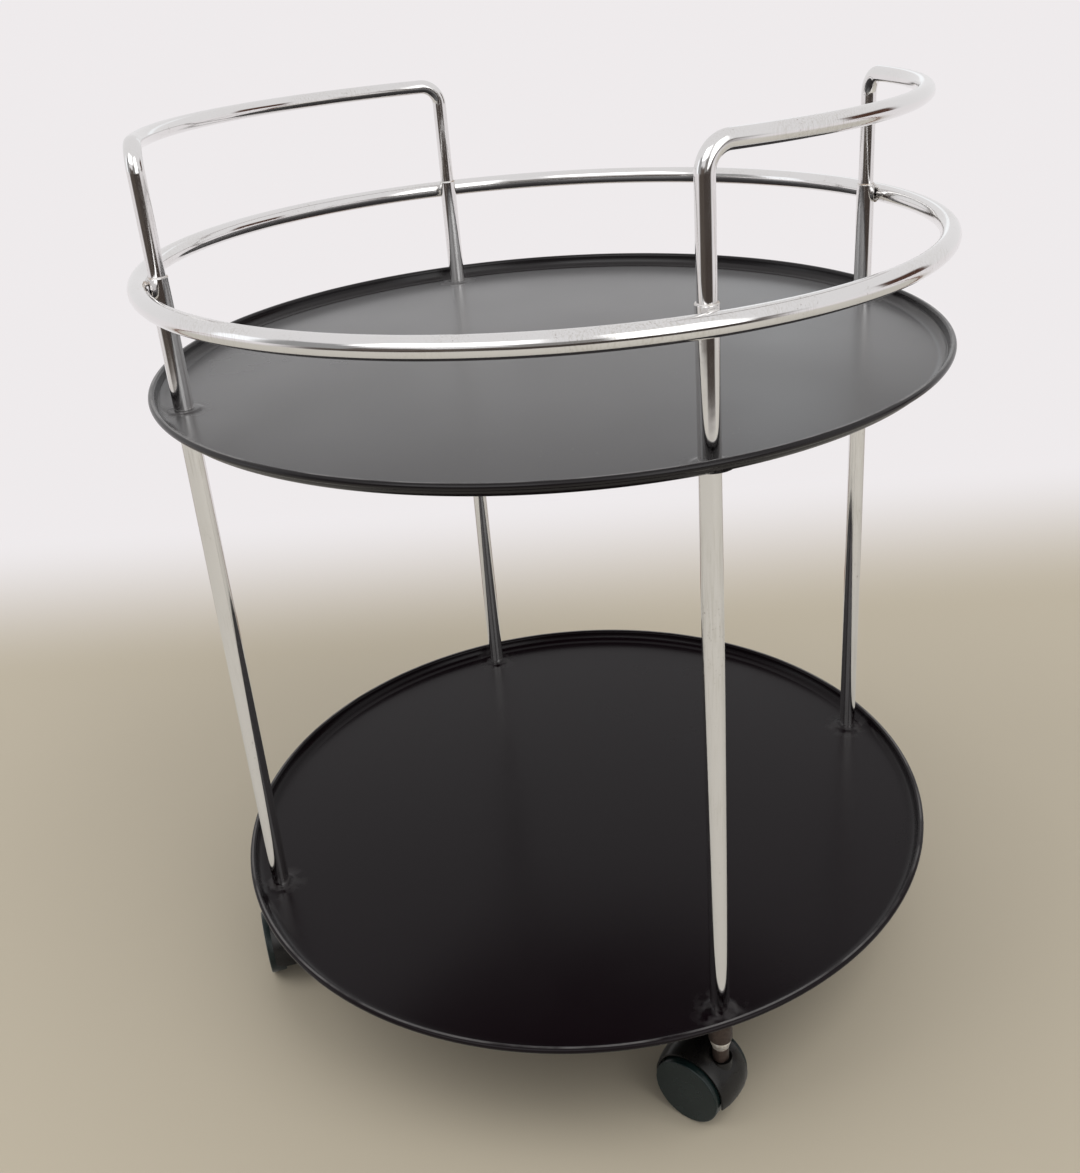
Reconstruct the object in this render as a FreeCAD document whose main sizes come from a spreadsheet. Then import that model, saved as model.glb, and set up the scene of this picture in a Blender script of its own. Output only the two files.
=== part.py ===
import FreeCAD, Part

import math
import os

import Sketcher

# Two-tier round serving table: two pressed trays with a wired rim, four
# tubular posts, a gallery ring, two bowed push handles and four hooded
# twin-wheel castors. Millimetres, Z up, origin on the floor under the middle.

doc = FreeCAD.newDocument("serving_table")
sheet = doc.addObject("Spreadsheet::Sheet", "dims")
sheet.Label = "dims"


class Size:
    """A number kept together with the sheet expression that gives it."""

    def __init__(self, value, text):
        self.value = float(value)
        self.text = text

    def __add__(self, other):
        other = as_size(other)
        return Size(self.value + other.value, "(%s + %s)" % (self.text, other.text))

    def __sub__(self, other):
        other = as_size(other)
        return Size(self.value - other.value, "(%s - %s)" % (self.text, other.text))

    def __mul__(self, other):
        other = as_size(other)
        return Size(self.value * other.value, "(%s * %s)" % (self.text, other.text))

    def __truediv__(self, other):
        other = as_size(other)
        return Size(self.value / other.value, "(%s / %s)" % (self.text, other.text))

    def __neg__(self):
        return Size(-self.value, "(0 - %s)" % self.text)


def as_size(amount):
    """Let plain numbers stand beside sizes."""
    if isinstance(amount, Size):
        return amount
    if amount < 0:
        return Size(amount, "(0 - %s)" % -amount)
    return Size(amount, "%s" % amount)


def root(amount):
    return Size(math.sqrt(amount.value), "sqrt(%s)" % amount.text)


def sine(angle):
    angle = as_size(angle)
    return Size(math.sin(math.radians(angle.value)), "sin(%s)" % angle.text)


def cosine(angle):
    angle = as_size(angle)
    return Size(math.cos(math.radians(angle.value)), "cos(%s)" % angle.text)


def arc_sine(ratio):
    return Size(math.degrees(math.asin(ratio.value)), "asin(%s)" % ratio.text)


def arc_tangent(ratio):
    return Size(math.degrees(math.atan(ratio.value)), "atan(%s)" % ratio.text)


sheet_names = []


def size(name, value, note):
    """Write one named size on the sheet and hand it back for use."""
    sheet_names.append(name)
    row = len(sheet_names)
    sheet.set("A%d" % row, note)
    sheet.set("B%d" % row, "%s" % value)
    sheet.setAlias("B%d" % row, name)
    return Size(value, "dims." + name)


# ---- Trays
tray_radius = size("tray_radius", 254.0, "outside radius of each tray")
sheet_thickness = size("sheet_thickness", 0.8, "steel sheet of the trays")
rim_bead_radius = size("rim_bead_radius", 2.9, "outside radius of the rolled rim")
rim_height = size("rim_height", 8.0, "tray floor to the middle of the rolled rim")
rim_curl_end = size("rim_curl_end", 110.0, "how far under the rim the curl ends")
wall_corner_radius = size("wall_corner_radius", 3.0, "inside corner of wall and floor")
seat_height = size("seat_height", 0.8, "raised seat under each post")
seat_margin = size("seat_margin", 1.5, "flat of a seat beyond the collar below it")
seat_slope = size("seat_slope", 1.0, "run of a seat's sloping edge")
seat_wall_gap = size("seat_wall_gap", 0.7, "seat edge to the corner of the tray wall")
stud_hole_clearance = size("stud_hole_clearance", 0.25, "stud to tray hole, per side")

# ---- Tubes
post_radius = size("post_radius", 6.0, "outside radius of the posts")
lower_post_wall = size("lower_post_wall", 1.0, "wall of the lower posts")
lower_post_length = size("lower_post_length", 359.2, "lower posts, end to end")
upper_post_length = size("upper_post_length", 79.2, "upper posts, end to end")
ring_tube_radius = size("ring_tube_radius", 6.0, "outside radius of the ring tube")
ring_wall = size("ring_wall", 1.0, "wall of the ring tube")
ring_drop = size("ring_drop", 7.0, "top of the upper posts to the ring centre")
ring_gap = size("ring_gap", 0.1, "ring to post at their nearest")
handle_radius = size("handle_radius", 5.0, "outside radius of the handle tube")
handle_wall = size("handle_wall", 1.0, "wall of the handle tube")
handle_fit = size("handle_fit", 0.1, "handle leg to upper post bore, per side")
handle_plug = size("handle_plug", 25.0, "length of handle leg inside the post")
handle_rise = size("handle_rise", 72.0, "top of the upper posts to the grip centre")
handle_bend_radius = size("handle_bend_radius", 14.0, "bend from leg to grip")
handle_bow_radius = size("handle_bow_radius", 250.0, "outward bow of the grip in plan")

# ---- Welds and joining hardware
weld_radius = size("weld_radius", 1.8, "radius of a weld bead")
weld_length = size("weld_length", 7.0, "length of a weld bead")
weld_stand = size("weld_stand", 0.9, "bead centre off the two tubes it joins")
collar_weld_height = size("collar_weld_height", 0.9, "weld where a handle leg enters")
insert_length = size("insert_length", 16.0, "threaded inserts in the post ends")
insert_fit = size("insert_fit", 0.05, "insert to post bore, per side")
thread_fit = size("thread_fit", 0.05, "stud to threaded bore, per side")
stud_end_gap = size("stud_end_gap", 2.0, "free thread beyond a stud's end")
tray_stud_radius = size("tray_stud_radius", 3.0, "studs through the upper tray")
socket_stud_radius = size("socket_stud_radius", 4.0, "studs through the lower tray")

# ---- Castor stem, bush and socket
shank_radius = size("shank_radius", 5.2, "bare shank of the castor stem")
shank_length = size("shank_length", 10.0, "bare shank between hood and bush")
journal_radius = size("journal_radius", 4.0, "thin ends of the stem")
journal_fit = size("journal_fit", 0.05, "stem to bush and hood bore, per side")
bush_wall = size("bush_wall", 1.55, "wall of the bush inside the socket")
bush_sleeve_length = size("bush_sleeve_length", 9.0, "bush inside the socket")
bush_flange_height = size("bush_flange_height", 6.74, "tapered flange below the socket")
bush_flange_step = size("bush_flange_step", 0.7, "socket edge beyond the flange")
bush_flange_lip = size("bush_flange_lip", 0.1, "flange beyond the shank at its foot")
socket_fit = size("socket_fit", 0.05, "bush to socket bore, per side")
socket_wall = size("socket_wall", 1.85, "wall of the socket around the bush")
socket_height = size("socket_height", 22.0, "socket from bush flange to tray")
socket_round = size("socket_round", 1.2, "rounded lower edge of the socket")

# ---- Castor wheels
wheel_radius = size("wheel_radius", 22.5, "radius of the wheels")
wheel_outer_face = size("wheel_outer_face", 20.2, "castor middle to wheel outer face")
wheel_dome_rise = size("wheel_dome_rise", 0.7, "dome of the wheel's outer face")
wheel_edge_radius = size("wheel_edge_radius", 1.2, "rounded outer edge of the tread")
wheel_inner_edge = size("wheel_inner_edge", 0.8, "rounded inner edge of the tread")
wheel_rim_wall = size("wheel_rim_wall", 3.6, "thickness of the wheel rim")
wheel_disc_wall = size("wheel_disc_wall", 2.6, "thickness of the wheel disc")
axle_radius = size("axle_radius", 2.5, "radius of the axle")
axle_fit = size("axle_fit", 0.05, "axle to wheel bore, per side")
axle_cover = size("axle_cover", 2.3, "wheel plastic left beyond the axle's end")
axle_end_gap = size("axle_end_gap", 0.3, "axle end to the bottom of the bore")
hub_wall = size("hub_wall", 1.9, "wall of the wheel hub around the axle")
hub_gap = size("hub_gap", 0.6, "wheel hub to the web between the wheels")

# ---- Castor hood
stem_trail = size("stem_trail", 14.4, "stem axis to axle, level")
hood_clearance = size("hood_clearance", 1.0, "wheel tread to hood")
hood_wall = size("hood_wall", 1.2, "hood thickness at its side lips")
hood_lip_setback = size("hood_lip_setback", 5.0, "wheel face proud of the hood lip")
hood_flank_width = size("hood_flank_width", 6.2, "sloping flank of the hood, across")
hood_flank_rise = size("hood_flank_rise", 1.6, "sloping flank of the hood, outwards")
hood_crown_rise = size("hood_crown_rise", 0.6, "crown of the hood above its flanks")
hood_tail_angle = size("hood_tail_angle", 12.0, "hood end behind, below level")
hood_nose_angle = size("hood_nose_angle", 10.0, "hood end in front, below level")
web_thickness = size("web_thickness", 6.0, "web between the wheels")
web_axle_wall = size("web_axle_wall", 4.2, "web below and beside the axle")
boss_wall = size("boss_wall", 3.2, "wall around the stem bore")
boss_clearance = size("boss_clearance", 1.2, "boss to the wheel rims")
boss_floor = size("boss_floor", 1.5, "plastic below the stem bore")
seat_rise = size("seat_rise", 1.39, "stem seat above the arc of the hood lips")
seat_ring = size("seat_ring", 1.2, "stem seat beyond the shank")
seat_cup_depth = size("seat_cup_depth", 1.15, "rim of the boss above the stem seat")
seat_flare = size("seat_flare", 1.4, "outward slope of the stem recess")
stem_seat_gap = size("stem_seat_gap", 0.3, "shank shoulder to the stem seat")
stem_end_gap = size("stem_end_gap", 0.5, "stem ends to the bottoms of their bores")

# ---- How each castor stands, as the direction its wheels trail from the stem
swivel_front_right = size("swivel_front_right", 167.6, "trailing direction, degrees")
swivel_front_left = size("swivel_front_left", 134.0, "trailing direction, degrees")
swivel_rear_left = size("swivel_rear_left", 150.0, "trailing direction, degrees")
swivel_rear_right = size("swivel_rear_right", 160.0, "trailing direction, degrees")

CORNERS = [
    ("front_right", 1, -1, swivel_front_right),
    ("front_left", -1, -1, swivel_front_left),
    ("rear_left", -1, 1, swivel_rear_left),
    ("rear_right", 1, 1, swivel_rear_right),
]

# ---- Sizes that follow from the named ones
hood_inner_radius = wheel_radius + hood_clearance
hood_lip_radius = hood_inner_radius + hood_wall
hood_flank_radius = hood_lip_radius + hood_flank_rise
hood_crown_radius = hood_flank_radius + hood_crown_rise
hood_half_width = wheel_outer_face - hood_lip_setback
seat_above_axle = root(hood_lip_radius * hood_lip_radius - stem_trail * stem_trail) + seat_rise
journal_bore = journal_radius + journal_fit
boss_radius = journal_bore + boss_wall
hub_radius = axle_radius + axle_fit + hub_wall
hub_inner_face = web_thickness / 2 + hub_gap
tread_inner_face = boss_radius + boss_clearance
axle_half_length = wheel_outer_face - wheel_dome_rise - axle_cover

shank_foot_z = wheel_radius + seat_above_axle + stem_seat_gap
flange_foot_z = shank_foot_z + shank_length
socket_foot_z = flange_foot_z + bush_flange_height
socket_top_z = socket_foot_z + socket_height
bush_radius = journal_bore + bush_wall
socket_bore = bush_radius + socket_fit
socket_radius = socket_bore + socket_wall

seat_top_radius = socket_radius + seat_margin
seat_base_radius = seat_top_radius + seat_slope
wall_inner_radius = tray_radius - rim_bead_radius * 2
post_circle_radius = (
    wall_inner_radius - wall_corner_radius - seat_wall_gap - seat_base_radius
)
post_offset = post_circle_radius * cosine(45)

lower_floor_z = socket_top_z - seat_height + sheet_thickness
lower_post_foot_z = lower_floor_z + seat_height
lower_post_top_z = lower_post_foot_z + lower_post_length
upper_floor_z = lower_post_top_z - seat_height + sheet_thickness
upper_post_foot_z = upper_floor_z + seat_height
upper_post_top_z = upper_post_foot_z + upper_post_length
upper_post_bore = handle_radius + handle_fit
lower_post_bore = post_radius - lower_post_wall

ring_z = upper_post_top_z - ring_drop
ring_circle_radius = post_circle_radius + post_radius + ring_gap + ring_tube_radius
grip_z = upper_post_top_z + handle_rise
leg_foot_z = upper_post_top_z - handle_plug
bend_z = grip_z - handle_bend_radius


# ---------------------------------------------------------------- sketching
def plane_of(body, role):
    """Find one of a body's own origin planes."""
    return [item for item in body.Origin.OriginFeatures if item.Role == role][0]


def sketch_on(body, role, name, lift=None):
    """Start a sketch on an origin plane, lifted along its normal if asked."""
    sketch = body.newObject("Sketcher::SketchObject", name)
    sketch.AttachmentSupport = [(plane_of(body, role), "")]
    sketch.MapMode = "FlatFace"
    if lift is not None:
        sketch.AttachmentOffset = FreeCAD.Placement(
            FreeCAD.Vector(0, 0, lift.value), FreeCAD.Rotation()
        )
        sketch.setExpression("AttachmentOffset.Base.z", lift.text)
    return sketch


def pin(sketch, geometry, point, along, amount):
    """Hold one coordinate of a sketch point from the sketch origin."""
    amount = as_size(amount)
    if amount.value == 0:
        axis = -2 if along == "X" else -1
        sketch.addConstraint(Sketcher.Constraint("PointOnObject", geometry, point, axis))
        return
    index = sketch.addConstraint(
        Sketcher.Constraint("Distance" + along, -1, 1, geometry, point, amount.value)
    )
    sketch.setExpression("Constraints[%d]" % index, amount.text)


def hold_radius(sketch, geometry, radius):
    """Hold the radius of an arc or circle."""
    index = sketch.addConstraint(Sketcher.Constraint("Radius", geometry, radius.value))
    sketch.setExpression("Constraints[%d]" % index, radius.text)


def top_of_arc(start, end, radius, turn, large):
    """Middle point of the arc that goes from start to end, turning one way."""
    half_x = (end[0].value - start[0].value) / 2
    half_y = (end[1].value - start[1].value) / 2
    half_chord = math.hypot(half_x, half_y)
    drop = math.sqrt(max(radius.value**2 - half_chord**2, 0.0))
    rise = radius.value + drop if large else radius.value - drop
    side = 1 if turn == "left" else -1
    return FreeCAD.Vector(
        start[0].value + half_x + side * half_y / half_chord * rise,
        start[1].value + half_y - side * half_x / half_chord * rise,
        0,
    )


def outline(sketch, steps):
    """Draw a closed outline: (x, y) for a line to a point, or
    (x, y, radius, "left" or "right", large) for an arc that ends there."""
    steps = [tuple(as_size(v) for v in step[:2]) + tuple(step[2:]) for step in steps]
    ends = []
    for here, after in zip(steps, steps[1:] + steps[:1]):
        first = FreeCAD.Vector(here[0].value, here[1].value, 0)
        last = FreeCAD.Vector(after[0].value, after[1].value, 0)
        if len(after) == 2:
            geometry = sketch.addGeometry(Part.LineSegment(first, last), False)
            ends.append((geometry, 1, 2))
            continue
        radius, turn, large = after[2:]
        middle = top_of_arc(here, after, radius, turn, large)
        if turn == "left":
            geometry = sketch.addGeometry(Part.Arc(first, middle, last), False)
            ends.append((geometry, 1, 2))
        else:
            geometry = sketch.addGeometry(Part.Arc(last, middle, first), False)
            ends.append((geometry, 2, 1))
    for here, after in zip(ends, ends[1:] + ends[:1]):
        sketch.addConstraint(
            Sketcher.Constraint("Coincident", here[0], here[2], after[0], after[1])
        )
    pin(sketch, ends[0][0], ends[0][1], "X", steps[0][0])
    pin(sketch, ends[0][0], ends[0][1], "Y", steps[0][1])
    for index in range(len(steps)):
        after = steps[(index + 1) % len(steps)]
        here = steps[index]
        geometry, _, point = ends[index]
        if len(after) > 2:
            hold_radius(sketch, geometry, after[2])
        if index == len(steps) - 1:
            continue
        if len(after) == 2 and here[0].text == after[0].text:
            sketch.addConstraint(Sketcher.Constraint("Vertical", geometry))
        else:
            pin(sketch, geometry, point, "X", after[0])
        if len(after) == 2 and here[1].text == after[1].text:
            sketch.addConstraint(Sketcher.Constraint("Horizontal", geometry))
        else:
            pin(sketch, geometry, point, "Y", after[1])


def circle(sketch, x, y, radius):
    """Draw a circle with its centre and radius held."""
    x = as_size(x)
    y = as_size(y)
    centre = FreeCAD.Vector(x.value, y.value, 0)
    shape = Part.Circle(centre, FreeCAD.Vector(0, 0, 1), radius.value)
    geometry = sketch.addGeometry(shape, False)
    pin(sketch, geometry, 3, "X", x)
    pin(sketch, geometry, 3, "Y", y)
    hold_radius(sketch, geometry, radius)


def turning_axis(sketch, x, low, high):
    """Draw an upright construction line for a cut to turn about."""
    x = as_size(x)
    low = as_size(low)
    high = as_size(high)
    line = Part.LineSegment(
        FreeCAD.Vector(x.value, low.value, 0), FreeCAD.Vector(x.value, high.value, 0)
    )
    geometry = sketch.addGeometry(line, True)
    pin(sketch, geometry, 1, "X", x)
    pin(sketch, geometry, 1, "Y", low)
    sketch.addConstraint(Sketcher.Constraint("Vertical", geometry))
    pin(sketch, geometry, 2, "Y", high)


# ---------------------------------------------------------------- features
def feature_of(body, kind, sketch, name):
    """Add a sketched feature and make it the body's tip."""
    feature = body.newObject("PartDesign::" + kind, name)
    feature.Profile = sketch
    sketch.Visibility = False
    body.Tip = feature
    return feature


def turned(body, kind, sketch, axis, name):
    """Full turn of a sketch about one of its axes."""
    feature = feature_of(body, kind, sketch, name)
    feature.ReferenceAxis = (sketch, [axis])
    feature.Angle = 360
    return feature


def straight(body, kind, sketch, length, name, sides="One side", back=None):
    """Pad or pocket of a sketch; a pocket goes against the sketch normal."""
    feature = feature_of(body, kind, sketch, name)
    feature.SideType = sides
    feature.Type = "Length"
    feature.Length = length.value
    feature.setExpression("Length", length.text)
    if back is not None:
        feature.Length2 = back.value
        feature.setExpression("Length2", back.text)
    return feature


def new_body(name):
    body = doc.addObject("PartDesign::Body", name)
    body.Label = name
    return body


def place(item, x, y, z, turn=None):
    """Stand an item at a point driven by the sheet."""
    x = as_size(x)
    y = as_size(y)
    z = as_size(z)
    rotation = FreeCAD.Rotation() if turn is None else turn
    item.Placement = FreeCAD.Placement(
        FreeCAD.Vector(x.value, y.value, z.value), rotation
    )
    for axis, amount in (("x", x), ("y", y), ("z", z)):
        item.setExpression("Placement.Base." + axis, amount.text)


def about_z(degrees):
    return FreeCAD.Rotation(FreeCAD.Vector(0, 0, 1), degrees)


def rod(name, radius, length, x, y, z, turn=None):
    """Plain cylinder."""
    item = doc.addObject("Part::Cylinder", name)
    item.setExpression("Radius", radius.text)
    item.setExpression("Height", length.text)
    place(item, x, y, z, turn)
    return item


def bent_rod(name, bend_radius, radius, sweep, x, y, z, turn=None):
    """Rod bent along an arc that starts on the local X axis."""
    item = doc.addObject("Part::Torus", name)
    item.setExpression("Radius1", bend_radius.text)
    item.setExpression("Radius2", radius.text)
    item.setExpression("Angle3", as_size(sweep).text)
    place(item, x, y, z, turn)
    return item


def group(name, items):
    """Keep several separate solids together."""
    item = doc.addObject("Part::Compound", name)
    item.Links = items
    return item


def joined(name, items):
    item = doc.addObject("Part::MultiFuse", name)
    item.Shapes = items
    item.Refine = True
    return item


def less(name, base, tool):
    item = doc.addObject("Part::Cut", name)
    item.Base = base
    item.Tool = tool
    item.Label = name
    return item


nodes = []


def keep(item):
    """Note an object as one of the pieces to hand over."""
    nodes.append(item)
    return item


# ---------------------------------------------------------------- trays
def make_tray(name, floor_z, stud_radius):
    """Pressed tray: floor, short wall and rolled rim, with a raised seat and a
    stud hole under each of the four posts. The floor's top is local Z = 0."""
    body = new_body(name)

    bead_centre = tray_radius - rim_bead_radius
    curl_radius = rim_bead_radius - sheet_thickness
    curl_x = cosine(rim_curl_end)
    curl_z = sine(rim_curl_end)
    wall_outer_radius = wall_inner_radius + sheet_thickness
    section = sketch_on(body, "XZ_Plane", name + "_section")
    outline(section, [
        (0, 0),
        (wall_inner_radius - wall_corner_radius, 0),
        (wall_inner_radius, wall_corner_radius, wall_corner_radius, "left", False),
        (wall_inner_radius, rim_height),
        (bead_centre + rim_bead_radius * curl_x, rim_height - rim_bead_radius * curl_z,
         rim_bead_radius, "right", True),
        (bead_centre + curl_radius * curl_x, rim_height - curl_radius * curl_z),
        (wall_outer_radius, rim_height, curl_radius, "left", True),
        (wall_outer_radius, wall_corner_radius),
        (wall_inner_radius - wall_corner_radius, -sheet_thickness,
         wall_corner_radius + sheet_thickness, "right", False),
        (0, -sheet_thickness),
    ])
    turned(body, "Revolution", section, "V_Axis", name + "_shell")

    raised = sketch_on(body, "XZ_Plane", name + "_seat_section")
    outline(raised, [
        (post_circle_radius, -sheet_thickness / 2),
        (post_circle_radius + seat_base_radius, -sheet_thickness / 2),
        (post_circle_radius + seat_base_radius, 0),
        (post_circle_radius + seat_top_radius, seat_height),
        (post_circle_radius, seat_height),
    ])
    turning_axis(raised, post_circle_radius, 0, rim_height)
    seat = turned(body, "Revolution", raised, "Axis0", name + "_seat")

    under = sketch_on(body, "XY_Plane", name + "_recess_circle", -sheet_thickness)
    circle(under, post_circle_radius, 0, seat_top_radius)
    recess = straight(body, "Pocket", under, seat_height, name + "_recess")
    recess.Reversed = True

    centre = sketch_on(body, "XY_Plane", name + "_hole_circle")
    circle(centre, post_circle_radius, 0, stud_radius + stud_hole_clearance)
    hole = straight(body, "Pocket", centre, rim_height, name + "_hole", "Symmetric")

    pattern = body.newObject("PartDesign::PolarPattern", name + "_four_seats")
    pattern.Originals = [seat, recess, hole]
    pattern.Axis = (section, ["V_Axis"])
    pattern.Angle = 360
    pattern.Occurrences = 4
    body.Tip = pattern

    place(body, 0, 0, floor_z, about_z(45))
    return keep(body)


make_tray("lower_tray", lower_floor_z, socket_stud_radius)
make_tray("upper_tray", upper_floor_z, tray_stud_radius)


# ---------------------------------------------------------------- posts
def make_post(name, x, y, foot_z, length, bore):
    """Straight tube standing on a tray seat."""
    skin = rod(name + "_skin", post_radius, length, x, y, foot_z)
    core = rod(name + "_core", bore, length, x, y, foot_z)
    return keep(less(name, skin, core))


for corner, sx, sy, _ in CORNERS:
    make_post("lower_post_" + corner, post_offset * sx, post_offset * sy,
              lower_post_foot_z, lower_post_length, lower_post_bore)
    make_post("upper_post_" + corner, post_offset * sx, post_offset * sy,
              upper_post_foot_z, upper_post_length, upper_post_bore)

# ---------------------------------------------------------------- ring
ring_skin = bent_rod("ring_skin", ring_circle_radius, ring_tube_radius, 360, 0, 0, ring_z)
ring_core = bent_rod("ring_core", ring_circle_radius, ring_tube_radius - ring_wall,
                     360, 0, 0, ring_z)
keep(less("ring_rail", ring_skin, ring_core))

# Weld beads above and below each place where the ring touches a post.
weld_circle = post_circle_radius + post_radius + weld_stand
weld_across = ring_circle_radius - weld_circle
weld_reach = ring_tube_radius + weld_stand
weld_lift = root(weld_reach * weld_reach - weld_across * weld_across)
beads = []
for corner, sx, sy, _ in CORNERS:
    tangent = math.degrees(math.atan2(sy, sx)) + 90
    level = FreeCAD.Rotation(FreeCAD.Vector(0, 0, 1), tangent).multiply(
        FreeCAD.Rotation(FreeCAD.Vector(0, 1, 0), 90)
    )
    along_x = -sy * math.cos(math.radians(45))
    along_y = sx * math.cos(math.radians(45))
    for where, lift in (("above", weld_lift), ("below", -weld_lift)):
        beads.append(rod(
            "bead_%s_%s" % (where, corner), weld_radius, weld_length,
            weld_circle * cosine(45) * sx - weld_length / 2 * along_x,
            weld_circle * cosine(45) * sy - weld_length / 2 * along_y,
            ring_z + lift, level,
        ))
welded_ring = bent_rod("welded_ring", ring_circle_radius, ring_tube_radius, 360, 0, 0, ring_z)
welded_posts = [
    rod("welded_post_" + corner, post_radius, ring_drop * 2,
        post_offset * sx, post_offset * sy, ring_z - ring_drop)
    for corner, sx, sy, _ in CORNERS
]
keep(less("ring_welds", group("weld_beads", beads),
          group("welded_tubes", [welded_ring] + welded_posts)))

# ---------------------------------------------------------------- handles
# In plan the grip is an arc bowed outwards. At each end it turns down through
# a bend that lies in the upright plane of its own end.
bow = handle_bow_radius
bend = handle_bend_radius
bow_half_angle = arc_sine(post_offset / root(bow * bow + bend * bend)) - arc_tangent(bend / bow)
bow_centre = post_offset - bow * cosine(bow_half_angle) + bend * sine(bow_half_angle)
grip_end_x = bow_centre + bow * cosine(bow_half_angle)
grip_end_y = bow * sine(bow_half_angle)


def handle_run(name, side, radius):
    """Two legs, two bends and the bowed grip at one radius."""
    items = []
    for end_name, end in (("front", -1), ("rear", 1)):
        items.append(rod(
            "%s_%s_leg" % (name, end_name), radius, bend_z - leg_foot_z,
            post_offset * side, post_offset * end, leg_foot_z,
        ))
        half_angle = math.radians(bow_half_angle.value)
        heading = math.atan2(end * math.cos(half_angle), -side * math.sin(half_angle))
        items.append(bent_rod(
            "%s_%s_bend" % (name, end_name), handle_bend_radius, radius, 90,
            grip_end_x * side, grip_end_y * end, bend_z,
            FreeCAD.Rotation(math.degrees(heading), 0, 90),
        ))
    start = -bow_half_angle.value if side > 0 else 180 - bow_half_angle.value
    items.append(bent_rod(
        name + "_grip", handle_bow_radius, radius, bow_half_angle * 2,
        bow_centre * side, 0, grip_z, about_z(start),
    ))
    return joined(name, items)


for name, side in (("right_handle", 1), ("left_handle", -1)):
    keep(less(name, handle_run(name + "_skin", side, handle_radius),
              handle_run(name + "_core", side, handle_radius - handle_wall)))

# Fillet weld round each handle leg where it drops into its post.
cones = []
legs = []
for corner, sx, sy, _ in CORNERS:
    cone = doc.addObject("Part::Cone", "collar_cone_" + corner)
    cone.setExpression("Radius1", (post_radius - handle_fit).text)
    cone.setExpression("Radius2", (handle_radius + handle_fit * 2).text)
    cone.setExpression("Height", collar_weld_height.text)
    place(cone, post_offset * sx, post_offset * sy, upper_post_top_z)
    cones.append(cone)
    legs.append(rod("collar_leg_" + corner, handle_radius, collar_weld_height,
                    post_offset * sx, post_offset * sy, upper_post_top_z))
keep(less("handle_welds", group("collar_cones", cones), group("collar_legs", legs)))


# ---------------------------------------------------------------- hardware
def four_rods(name, radius, length, z):
    """One rod on each post axis."""
    return group(name, [
        rod("%s_%s" % (name, corner), radius, length, post_offset * sx, post_offset * sy, z)
        for corner, sx, sy, _ in CORNERS
    ])


def four_inserts(name, radius, bore, z):
    """Threaded inserts in the ends of the posts."""
    keep(less(name, four_rods(name + "_skins", radius, insert_length, z),
              four_rods(name + "_bores", bore, insert_length, z)))


tray_stud_bore = tray_stud_radius + thread_fit
socket_stud_bore = socket_stud_radius + thread_fit
four_inserts("upper_post_inserts", upper_post_bore - insert_fit, tray_stud_bore,
             upper_post_foot_z)
four_inserts("lower_post_top_inserts", lower_post_bore - insert_fit, tray_stud_bore,
             lower_post_top_z - insert_length)
four_inserts("lower_post_foot_inserts", lower_post_bore - insert_fit, socket_stud_bore,
             lower_post_foot_z)

tray_stud_foot_z = lower_post_top_z - insert_length + stud_end_gap
tray_stud_top_z = upper_post_foot_z + insert_length - stud_end_gap
tray_studs = four_rods("tray_studs", tray_stud_radius,
                       tray_stud_top_z - tray_stud_foot_z, tray_stud_foot_z)
keep(tray_studs)

socket_thread = socket_height - bush_sleeve_length - stud_end_gap
socket_stud_foot_z = socket_top_z - socket_thread
socket_stud_top_z = lower_post_foot_z + insert_length - stud_end_gap
socket_studs = four_rods("socket_studs", socket_stud_radius,
                         socket_stud_top_z - socket_stud_foot_z, socket_stud_foot_z)
keep(socket_studs)


# ---------------------------------------------------------------- castors
def make_socket(name):
    """Threaded collar under the tray that holds the castor's bush."""
    body = new_body(name)
    thread_foot = bush_sleeve_length + stem_end_gap
    section = sketch_on(body, "XZ_Plane", name + "_section")
    outline(section, [
        (socket_bore, 0),
        (socket_radius - socket_round, 0),
        (socket_radius, socket_round, socket_round, "left", False),
        (socket_radius, socket_height),
        (socket_stud_bore, socket_height),
        (socket_stud_bore, thread_foot),
        (socket_bore, thread_foot),
    ])
    turned(body, "Revolution", section, "V_Axis", name + "_turned")
    return keep(body)


def make_bush(name):
    """Flanged bush: tapered flange below, sleeve up inside the socket."""
    body = new_body(name)
    section = sketch_on(body, "XZ_Plane", name + "_section")
    outline(section, [
        (journal_bore, -bush_flange_height),
        (shank_radius + bush_flange_lip, -bush_flange_height),
        (socket_radius - bush_flange_step, -bush_flange_height / 6),
        (socket_radius - bush_flange_step, 0),
        (bush_radius, 0),
        (bush_radius, bush_sleeve_length),
        (journal_bore, bush_sleeve_length),
    ])
    turned(body, "Revolution", section, "V_Axis", name + "_turned")
    return keep(body)


def make_stem(name):
    """Stem: bare shank, with a journal up in the bush and one down in the hood."""
    body = new_body(name)
    top = bush_flange_height + bush_sleeve_length - stem_end_gap
    foot = -shank_length - seat_above_axle + hub_radius + boss_floor
    section = sketch_on(body, "XZ_Plane", name + "_section")
    outline(section, [
        (0, foot + hub_gap),
        (journal_radius - stem_end_gap, foot + hub_gap),
        (journal_radius, foot + hub_gap + stem_end_gap),
        (journal_radius, -shank_length),
        (shank_radius, -shank_length),
        (shank_radius, 0),
        (journal_radius, 0),
        (journal_radius, top - stem_end_gap),
        (journal_radius - stem_end_gap, top),
        (0, top),
    ])
    turned(body, "Revolution", section, "V_Axis", name + "_turned")
    return keep(body)


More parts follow.
